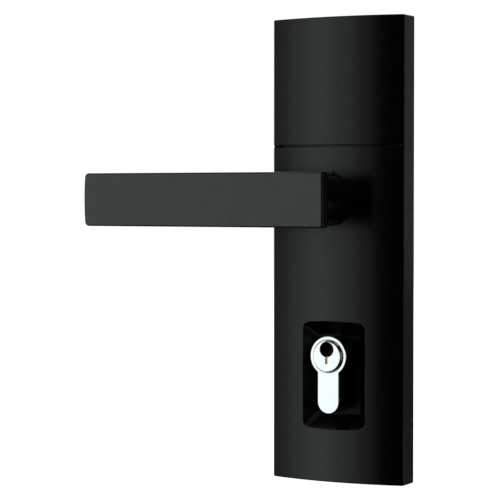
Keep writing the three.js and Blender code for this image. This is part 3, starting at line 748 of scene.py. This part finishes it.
LEVER_LOW, LEVER_HIGH = cad_box("lever")
BAR_BACK = LEVER_LOW[1] + 5.5
BULGE = 0.5  # how far the tip bows out
BAR_CORNER = 1.0
TIP_CORNER = 1.9
BAR_EDGE = 0.85
NECK = {"radius": 10.2, "back": -9.45, "fillet": 0.5}
JOURNAL = {"radius": 7.5, "flat": 6.6}  # flat is the distance from the axis
GROOVE = {"radius": 6.75, "front": -6.35, "back": -5.35}  # for the circlip
SOCKET = {"half": 4.05, "front": -33.5}  # for the spindle
GRUB = {"y": float(centre("lever_grub_screw")[1]), "hole": 2.55, "key": 1.46}
DRIVER = {"disc": 12.2, "thickness": 1.8, "bore": 7.65, "flat": 6.75}
LUG = {"half": 2.5, "low": 8.0, "corner": 0.5}  # it runs between the stops
TAB = {"half": 1.5, "low": 12.6, "high": 14.2, "corner": 0.3}  # it winds the spring
COIL = {"wire": 0.55, "radius": 10.5, "reach": 14.6, "turns": 2}
LEGS = (math.radians(101), math.radians(69.5))  # where the spring's front and back legs run out
LEG = 1.1 * MM  # how much of the coil stays untwisted at each end


def bar_outline(inset):
    """The bar seen from the front: a bowed tip on the left, a square end on the right."""
    left, right, half = LEVER_LOW[0], LEVER_HIGH[0], LEVER_HIGH[2]
    radius = (half**2 + BULGE**2) / (2 * BULGE)
    middle = left + radius
    square, size = half - BAR_CORNER, BAR_CORNER - inset
    edge, tip_size = half - TIP_CORNER, TIP_CORNER - inset
    lean = math.asin(edge / (radius - TIP_CORNER))
    tip = middle - (radius - TIP_CORNER) * math.cos(lean)
    lean = math.degrees(lean)
    arcs = [
        arc(right - BAR_CORNER, -square, size, -90, 0, 7),
        arc(right - BAR_CORNER, square, size, 0, 90, 7),
        arc(tip, edge, tip_size, 90, 180 - lean, 7),
        arc(middle, 0, radius - inset, 180 - lean, 180 + lean, 25)[1:-1],
        arc(tip, -edge, tip_size, 180 + lean, 270, 7),
    ]
    return np.concatenate(arcs)


def double_d(name, radius, flat, y0, y1, z=0.0, edge=0.0):
    """A round shaft or hole with a flat on its left and right."""
    profile = [(0, y0), (radius, y0), (radius, y1), (0, y1)]
    shaft = turned(name, rounded(profile, [0, 0, edge, 0], 3), 72, 0, z)
    reach = radius + PAST
    span = (y0 - PAST, y1 + PAST, z - reach, z + reach)
    return cut(shaft, box("left", -reach, -flat, *span), box("right", flat, reach, *span))


def ring(name, inner, outer, y0, y1, edge, z=0.0):
    """A ring about the line along Y, with its edges broken."""
    profile = [(inner, y0), (outer, y0), (outer, y1), (inner, y1)]
    return turned(name, rounded(profile, edge, 2, closed=True), 96, 0, z, joined_up=True)


def lever():
    """A flat bar on a round neck, with a bare journal that runs through the plate."""
    bar = slab("lever_handle", bar_outline, LEVER_LOW[1], BAR_BACK, BAR_EDGE, BAR_EDGE, 5)
    radius, back, fillet = NECK["radius"], NECK["back"], NECK["fillet"]
    path = [(radius + 2, BAR_BACK), (radius, BAR_BACK), (radius, back), (0, back)]
    soft = rounded(path, [0, fillet, 0.35, 0], 4)[1:-1]
    neck = turned("neck", [(radius + fillet, BAR_BACK - 1), *soft], 128)
    size, flat = JOURNAL["radius"], JOURNAL["flat"]
    journal = double_d("journal", size, flat, back - 1, LEVER_HIGH[1], edge=0.4)
    # The bar and neck take the lighter copy of the coat, as painted light.
    whole = joined(paint(bar, LIT_LEVER_COAT), paint(neck, LIT_LEVER_COAT), paint(journal, CAST_ZINC))
    half = SOCKET["half"]
    socket = box("socket", -half, half, SOCKET["front"], 0, -half, half)
    groove = ring("groove", GROOVE["radius"], size + PAST, GROOVE["front"], GROOVE["back"], 0)
    grub = upright("grub_hole", [(GRUB["hole"], -radius - PAST), (GRUB["hole"], 0)], 40, GRUB["y"])
    return cut(whole, *[paint(tool, CAST_ZINC) for tool in (socket, groove, grub)])


def grub_screw():
    """A pointed set screw with a hexagon socket underneath."""
    low, high = cad_box("lever_grub_screw")
    radius, foot, tip, key = high[0], low[2], high[2], GRUB["key"]
    profile = [(0, foot), (radius, foot), (radius, tip - 0.8), (0.9, tip), (0, tip)]
    body = upright("grub_screw", rounded(profile, [0, 0.3, 0.1, 0.1, 0], 3), 48, GRUB["y"])
    hexagon = [(key, foot - PAST), (key, foot + 2), (0, foot + 2.6)]
    return cut(body, upright("key", hexagon, 6, GRUB["y"]))


def spindle():
    """A square bar with broken edges."""
    low, high = cad_box("spindle")

    def outline(inset):
        return rounded_rectangle(high[0] - inset, low[2] + inset, high[2] - inset, 0.65 - 0.5 * inset, 4)

    return slab("square_spindle", outline, low[1], high[1], 0.7, 0.9, 3)


def spring_driver():
    """The disc on the journal, with the lug that meets the stops and the tab that winds the spring."""
    low, high = cad_box("spring_driver")
    front, back = low[1], low[1] + DRIVER["thickness"]
    radius = DRIVER["disc"]
    profile = [(0, front), (radius, front), (radius, back), (0, back)]
    disc = turned("spring_driver_disc", rounded(profile, [0, 0.2, 0.2, 0]), 96)

    def lug_outline(inset):
        return rounded_rectangle(LUG["half"] - inset, LUG["low"], high[2] - inset, LUG["corner"] - inset, 4)

    def tab_outline(inset):
        half, corner = TAB["half"] - inset, TAB["corner"] - inset
        return rounded_rectangle(half, TAB["low"] + inset, TAB["high"] - inset, corner, 4)

    lug = slab("lug", lug_outline, front, back, 0.2, 0.2)
    tab = slab("tab", tab_outline, front, high[1], 0, 0.2)
    bore = double_d("bore", DRIVER["bore"], DRIVER["flat"], front - PAST, back + PAST)
    return cut(joined(disc, lug, tab), bore)


CLIP_MOUTH = 35  # half of a circlip's opening, in degrees


def circlip(node, inner, outer, mouth, z=0.0):
    """An open ring; mouth is the angle that it opens towards."""
    low, high = cad_box(node)

    def outline(inset):
        half = CLIP_MOUTH + math.degrees(inset / inner)
        rim = arc(0, z, outer - inset, mouth + half, mouth + 360 - half, 81)
        bore = arc(0, z, inner + inset, mouth + 360 - half, mouth + half, 81)
        return np.concatenate([rim, bore])

    return slab(f"{node}_stamped", outline, low[1], high[1], 0.12, 0.12, 2)


def wire(name, path, radius, sides=8):
    """A round wire along a path."""
    path = np.array(path)
    along = np.gradient(path, axis=0)
    along /= np.linalg.norm(along, axis=1, keepdims=True)
    side = np.cross(along[0], [0.3, 0.5, 0.8])
    angles = np.linspace(0, TURN, sides, endpoint=False)
    rings = []
    for point, direction in zip(path, along):
        side = side - direction * (side @ direction)
        side /= np.linalg.norm(side)
        other = np.cross(direction, side)
        offsets = np.outer(np.cos(angles), side) + np.outer(np.sin(angles), other)
        rings.append(point + radius * offsets)
    return solid(name, rings)


def return_spring():
    """Two turns of wire whose legs run out on each side of the driver's tab."""
    low, high = cad_box("return_spring")
    thick, coil, reach = COIL["wire"], COIL["radius"], COIL["reach"]
    front, back = low[1] + thick, high[1] - thick
    first, last = LEGS
    sweep = COIL["turns"] * TURN - (first - last)
    points = []
    for share in np.linspace(0, 1, 12)[:-1]:
        points.append((reach + (coil - reach) * share, first, front))
    for share in np.linspace(0, 1, 145):
        points.append((coil, first + sweep * share, front + (back - front) * share))
    for share in np.linspace(0, 1, 12)[1:]:
        points.append((coil + (reach - coil) * share, last, back))
    path = np.array([(r * math.cos(angle), y, r * math.sin(angle)) for r, angle, y in points])
    for _ in range(3):  # softens the bends at the legs
        path[1:-1] = (path[:-2] + 2 * path[1:-1] + path[2:]) / 4
    return wire("return_spring_wire", path, thick, 10)


finished(lever(), "lever")
finished(grub_screw(), "lever_grub_screw")
finished(spindle(), "spindle")
finished(spring_driver(), "spring_driver")
finished(circlip("lever_circlip", 6.92, 9.2, -90), "lever_circlip")
finished(ring("neck_bush_ring", 10.34, 12.05, *cad_box_y("neck_bush"), 0.25), "neck_bush")
finished(ring("thrust_washer_ring", 7.75, 11.9, *cad_box_y("thrust_washer"), 0.1), "thrust_washer")
COIL_LOW, COIL_HIGH = [corner * MM for corner in cad_box("return_spring")]
COIL_TWIST = ("plate", "lever", (0, COIL_HIGH[1] - LEG, 0), (0, COIL_LOW[1] + LEG, 0))
finished(return_spring(), "return_spring", twist=COIL_TWIST)

# ---- The cylinder ----

BODY_LOW, BODY_HIGH = cad_box("cylinder_body")
PINS = range(1, 6)
PIN_PLACES = [float(centre(f"key_pin_{i}")[1]) for i in PINS]
BORE = {"front": 7.15, "lip": 7.27, "radius": 6.65, "step": -18.3, "back": 6.5}  # the plug turns in it
CAM_SLOT = {"front": 5.5, "back": 15.7, "below": 16.2, "above": 10}
TAIL_BORE = {"radius": 4.6, "front": 14.7, "back": 18.7}
CHAMBER = {"radius": 1.5, "top": 5.65, "plug": 1.8, "plug_top": 22.15}  # the tops are below the plug's axis
FIXING = {"y": 10.6, "below": 20.3}
BARREL = {"face": 6.35, "front": 7, "step": -18.45, "radius": 6.5, "back": 5.2, "tail": 4.3}
TAIL_FLAT = {"half": 3.6, "front": 6.5}
CLIP_GROOVE = {"radius": 3.8, "front": 5.65, "back": 6.55}
KEYWAY = {"half": 0.65, "jog": 0.55, "step": 0.6, "low": -3.2, "high": 5.0, "back": 4.2}
WARD = 0.95  # how far the ward reaches into the keyway
WARD_DEPTH = 0.5  # and how far behind the face it starts
ENTRY = {"mouth": 3.3, "radius": 3.1, "above": 3, "back": -16.4, "end": -15.2}  # the round key entry
CAM = {"hub": 7.6, "reach": 15.2, "half": 3, "bore": 4.45, "flat": 3.75, "turn": math.radians(30)}


def cylinder_body():
    """The half euro profile: chrome outside, bare brass where it is slotted and drilled, and brass painted
    dark as shade in the plug's bore.
    """
    body = slab("half_cylinder", euro, BODY_LOW[1], BODY_HIGH[1], 0.3, 0.3)
    front, foot = BODY_LOW[1], BODY_LOW[2]
    wide, lip, radius, step = BORE["front"], BORE["lip"], BORE["radius"], BORE["step"]
    mouth = [(lip, front - PAST), (lip, front - 0.02), (wide, front + 0.1), (wide, front + 0.5)]
    mouth += [(wide, step), (radius, step), (radius, BORE["back"])]
    # The bore is painted in dark brown brass as shade, and in chrome at its front lip.
    bore = paint(turned("bore", mouth, 128, 0, CYLINDER_Z), SHADED_BRASS)
    tools = [paint_where(bore, CHROME, lambda spot: spot.y < front + 0.3)]
    low, high = CYLINDER_Z - CAM_SLOT["below"], CYLINDER_Z + CAM_SLOT["above"]
    tools.append(box("cam_slot", -10, 10, CAM_SLOT["front"], CAM_SLOT["back"], low, high))
    radius, end = TAIL_BORE["radius"], TAIL_BORE["back"]
    tail = [(radius, TAIL_BORE["front"]), (radius, end), (0, end + 1.3)]
    tools.append(turned("tail_bore", tail, 48, 0, CYLINDER_Z))
    radius, wide, shoulder = CHAMBER["radius"], CHAMBER["plug"], CYLINDER_Z - CHAMBER["plug_top"]
    chamber = [(wide, foot - PAST), (wide, shoulder), (radius, shoulder + 0.15)]
    chamber.append((radius, CYLINDER_Z - CHAMBER["top"]))
    tools += [upright("chamber", chamber, 32, y) for y in PIN_PLACES]
    fixing = helix_bore("fixing", -6, 6)
    place = Matrix.Translation((0, FIXING["y"], CYLINDER_Z - FIXING["below"]))
    fixing.data.transform(place @ Matrix.Rotation(math.pi / 2, 4, "Z"))
    tools.append(fixing)
    return cut(paint(body, CHROME), *[paint(tool, BRASS) for tool in tools])


def keyway(name, y0, y1, ward):
    """A stretch of the keyway, which steps sideways half way up; ward is what stands in it on the right."""
    half, jog, step = KEYWAY["half"], KEYWAY["jog"], KEYWAY["step"]
    right = [(half, KEYWAY["low"]), (half, -step), (half + jog, step), (half + jog, KEYWAY["high"])]
    left = [(x - 2 * half, z) for x, z in reversed(right)]
    outline = [(x - ward, CYLINDER_Z + z) for x, z in right] + [(x, CYLINDER_Z + z) for x, z in left]
    return slab(name, lambda _: outline, y0, y1)


def cylinder_plug():
    """The turning barrel, plated on its face, with its keyway and pin bores in bare brass."""
    low, high = cad_box("cylinder_plug")
    face, tail = low[1], high[1]
    seat = BODY_LOW[1] - 0.1
    wide, step, radius, back, thin = [BARREL[key] for key in ("front", "step", "radius", "back", "tail")]
    profile = [(0, face), (BARREL["face"], face), (wide, seat), (wide, step), (radius, step)]
    profile += [(radius, back), (thin, back), (thin, tail), (0, tail)]
    soft = rounded(profile, [0, 0.22, 0.1, 0.1, 0, 0.2, 0, 0.4, 0], 4)
    barrel = paint(turned("plug_barrel", soft, 128, 0, CYLINDER_Z), BRASS)
    paint_where(barrel, CHROME, lambda spot: spot.y < step + 0.05)
    far, half = 9, TAIL_FLAT["half"]  # far is well outside the barrel
    span = (TAIL_FLAT["front"], tail + PAST, CYLINDER_Z - far, CYLINDER_Z + far)
    tools = [box("flat", -far, -half, *span), box("flat", half, far, *span)]
    groove = (CLIP_GROOVE["radius"], far, CLIP_GROOVE["front"], CLIP_GROOVE["back"])
    tools.append(ring("groove", *groove, 0, CYLINDER_Z))
    tools.append(keyway("keyway_mouth", face - PAST, face + WARD_DEPTH, 0))
    tools.append(keyway("keyway", face, KEYWAY["back"], WARD))
    pin_bore = [(CHAMBER["radius"], CYLINDER_Z - 7.5), (CHAMBER["radius"], CYLINDER_Z + 0.4)]
    tools += [upright("pin_bore", pin_bore, 32, y) for y in PIN_PLACES]
    mouth, radius = ENTRY["mouth"], ENTRY["radius"]
    entry = [(mouth, face - PAST), (mouth, face - 0.01), (radius, face + 0.2)]
    entry += [(radius, ENTRY["back"]), (0, ENTRY["end"])]
    # The key entry's wall is painted in dark brown brass, as shade inside the hole.
    tools.append(paint(turned("key_entry", entry, 64, 0, CYLINDER_Z + ENTRY["above"]), SHADED_BRASS))
    return cut(barrel, *[paint(tool, BRASS) for tool in tools])


def cam():
    """The tongue that throws the bolt."""
    low, high = cad_box("cylinder_cam")
    front, back = low[1], high[1]

    def hub_outline(inset):
        return arc(0, 0, CAM["hub"] - inset, 0, 355, 72)

    def tongue_outline(inset):
        reach, half = CAM["reach"] - inset, CAM["half"] - inset
        swing = math.degrees(math.asin(half / reach))
        tip = arc(0, 0, reach, 270 - swing, 270 + swing, 13)
        return np.concatenate([tip, [(half, -2.0), (-half, -2.0)]])

    blank = slab("cam_blank", hub_outline, front, back, 0.3, 0.3)
    whole = joined(blank, slab("tongue", tongue_outline, front, back, 0.3, 0.3))
    turn = Matrix.Rotation(CAM["turn"], 4, "Y")
    whole.data.transform(Matrix.Translation((0, 0, CYLINDER_Z)) @ turn)
    return cut(whole, double_d("bore", CAM["bore"], CAM["flat"], front - PAST, back + PAST, CYLINDER_Z))


POINT = {"height": 0.8, "radius": 0.4}
WAIST = {"depth": 0.35, "start": 1.2, "end": 1.5}  # start and end are heights from the pin's ends


def key_pin(node):
    """Pointed, to ride on the cuts of a key."""
    low, high = cad_box(node)
    foot, tip, radius = low[2], high[2], high[0]
    profile = [(0, foot), (radius, foot), (radius, tip - POINT["height"]), (POINT["radius"], tip), (0, tip)]
    return upright(f"{node}_turned", rounded(profile, [0, 0.2, 0.1, 0.15, 0], 3), 40, centre(node)[1])


def driver_pin(node):
    """Waisted against picking."""
    low, high = cad_box(node)
    foot, top, radius = low[2], high[2], high[0]
    waist, start, end = radius - WAIST["depth"], WAIST["start"], WAIST["end"]
    profile = [(0, foot), (radius, foot), (radius, foot + start), (waist, foot + end)]
    profile += [(waist, top - end), (radius, top - start), (radius, top), (0, top)]
    soft = rounded(profile, [0, 0.2, 0.05, 0.1, 0.1, 0.05, 0.2, 0], 3)
    return upright(f"{node}_turned", soft, 40, centre(node)[1])


def pin_spring(node):
    """Five open turns of wire."""
    low, high = cad_box(node)
    thick, turns = 0.2, 5
    reach = high[0] - thick
    angles = np.linspace(0, TURN * turns, turns * 28 + 1)
    x, y = reach * np.cos(angles), centre(node)[1] + reach * np.sin(angles)
    z = np.linspace(low[2] + thick, high[2] - thick, len(angles))
    return wire(f"{node}_wire", np.column_stack([x, y, z]), thick)


def squeezed(piece):
    """Gives the spring a mesh of its own."""
    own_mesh(piece)


def chamber_plug(node):
    """The disc that closes a pin chamber from below."""
    low, high = cad_box(node)
    radius = high[0]
    profile = [(0, low[2]), (radius, low[2]), (radius, high[2]), (0, high[2])]
    return upright(f"{node}_turned", rounded(profile, [0, 0.15, 0.15, 0], 3), 40, centre(node)[1])


finished(cylinder_body(), "cylinder_body")
finished(cylinder_plug(), "cylinder_plug")
finished(cam(), "cylinder_cam")
finished(circlip("plug_circlip", 3.95, 7.4, 90, CYLINDER_Z), "plug_circlip")
for i in PINS:
    finished(key_pin(f"key_pin_{i}"), f"key_pin_{i}")
    finished(driver_pin(f"driver_pin_{i}"), f"driver_pin_{i}")
    squeezed(finished(pin_spring(f"pin_spring_{i}"), f"pin_spring_{i}"))
    finished(chamber_plug(f"chamber_plug_{i}"), f"chamber_plug_{i}")

# ---- Stage ----

EYE = {"place": (0.365879, -0.75841, 0.001843), "azimuth": 28.651, "dip": 1.613}  # fitted to the photo


def camera():
    data = bpy.data.cameras.new("camera")
    data.sensor_width = 36
    data.lens = 139.76
    data.clip_start, data.clip_end = 0.05, 50
    made = linked("camera", data)
    made.location = EYE["place"]
    made.rotation_euler = (math.radians(90 - EYE["dip"]), 0, math.radians(EYE["azimuth"]))
    bpy.context.scene.camera = made


def glow(name, strength, base=0.0):
    """A white stage material that shines by itself, and takes soft shadows too if its base isn't black."""
    colours = {"Emission_Color": (1, 1, 1, 1), "Base_Color": (base, base, base, 1)}
    return Nodes(name, Roughness=0.9, Emission_Strength=strength, Specular_IOR_Level=0, **colours).material


FLOOR_REACH, FLOOR_GAP, ROOM_RADIUS = 6.0, 0.0004, 7.0


def set_up(mesh, material, *unseen_by):
    """Puts a mesh on the stage. The camera sees it, but no ray that would light the part does."""
    mesh.materials.append(material)
    made = linked(mesh.name, mesh)
    for kind in ("glossy", "diffuse", "transmission", *unseen_by):
        setattr(made, f"visible_{kind}", False)


def backdrop():
    """A pale floor under the plate's lower edge, in a white room that lights nothing."""
    level = CAD_BOX[0][2] - FLOOR_GAP
    signs = [(-1, -1), (1, -1), (1, 1), (-1, 1)]
    floor = bpy.data.meshes.new("floor")
    floor.from_pydata([(FLOOR_REACH * x, FLOOR_REACH * y, level) for x, y in signs], [], [(0, 1, 2, 3)])
    set_up(floor, glow("pale_floor", 1.0, 0.8))
    shape = bmesh.new()
    bmesh.ops.create_uvsphere(shape, u_segments=48, v_segments=24, radius=ROOM_RADIUS)
    room = bpy.data.meshes.new("room")
    shape.to_mesh(room)
    shape.free()
    set_up(room, glow("white_room", 1.05), "shadow")


KEY_TINT = (0.90, 1.0, 0.98)
AIM = Vector((-0.02, -0.03, -0.02))  # what the lights point at


def panel(name, azimuth, elevation, spread, radiance, distance=1.6):
    """A soft rectangular light; azimuth 0 is in front of the plate and 90 to its right, in degrees."""
    turn, tilt = math.radians(azimuth), math.radians(elevation)
    away = Vector((math.sin(turn) * math.cos(tilt), -math.cos(turn) * math.cos(tilt), math.sin(tilt)))
    data = bpy.data.lights.new(name, "AREA")
    data.shape = "RECTANGLE"
    data.size, data.size_y = [2 * distance * math.tan(math.radians(half)) for half in spread]
    data.energy = radiance * math.pi * data.size * data.size_y
    data.color = KEY_TINT
    made = linked(name, data)
    made.location = AIM + away * distance
    made.rotation_euler = (-away).to_track_quat("-Z", "Y").to_euler()
    made.visible_camera = False


def lights():
    world = bpy.data.worlds.new("studio")
    world.use_nodes = True
    world.node_tree.nodes["Background"].inputs["Color"].default_value = (0.004, 0.004, 0.004, 1)
    bpy.context.scene.world = world
    # The three key panels stand one behind another, and their light adds up to a peak with shoulders.
    panel("key_core", -33.5, 0, (6, 32), 0.42, 1.60)
    panel("key_middle", -32.5, 0, (17, 34), 0.56, 1.66)
    panel("key_skirt", -36, 0, (30, 36), 0.48, 1.72)
    panel("back_right", 163, 23, (12, 26), 0.27)
    panel("back_low", 163, -15, (12, 12), 0.10, 1.66)
    panel("back_side", 131, -22, (13, 14), 0.8)
    panel("side", 88, 0, (6, 14), 1.0)
    panel("side_dim", 105, 0, (9, 20), 0.1, 1.66)
    panel("overhead", 0, 84, (30, 30), 0.35)
    panel("back_left", 215, 40, (30, 24), 1.3)
    panel("left_side", 262, 0, (14, 30), 0.5)
    bpy.context.scene.view_settings.view_transform = "Standard"
    bpy.context.scene.view_settings.look = "None"


WORN_EDGE = 0.12 * MM


def dress_frame():
    """The CAD nodes that stay get their slot's material, and softened edges."""
    for name, node in frame["nodes"].items():
        node.data.materials.clear()
        node.data.materials.append(LOOKS[SLOT_OF[name]])
        bevel = node.modifiers.new("worn_edges", "BEVEL")
        bevel.width = WORN_EDGE
        bevel.segments = 2
        bevel.limit_method = "ANGLE"
        bevel.angle_limit = math.radians(40)


dress_frame()
camera()
backdrop()
lights()
